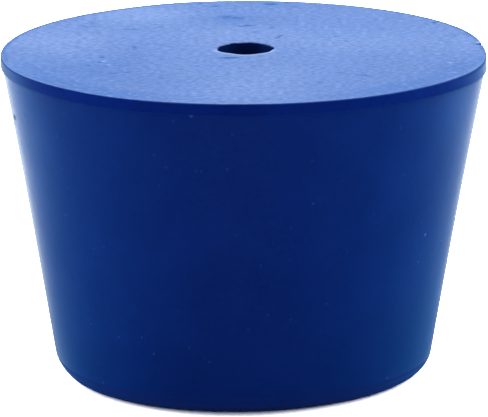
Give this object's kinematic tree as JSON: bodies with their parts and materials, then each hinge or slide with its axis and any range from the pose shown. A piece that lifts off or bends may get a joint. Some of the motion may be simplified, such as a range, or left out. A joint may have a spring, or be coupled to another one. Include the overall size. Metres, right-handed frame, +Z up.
{
  "type": "rubber stopper",
  "caption": "Tapered solid rubber stopper with a straight bore down its middle and a trimmed upright band round its wide end.",
  "frame": {"origin": "centre of the small end's flat base", "axes": "+Z up along the bore, from the small end to the wide end"},
  "size_m": [0.037, 0.037, 0.025],
  "materials": {
    "rubber": "smooth moulded side with a soft sheen, matt cut top"
  },
  "bodies": {
    "root": {"stopper": "rubber"}
  },
  "joints": []
}
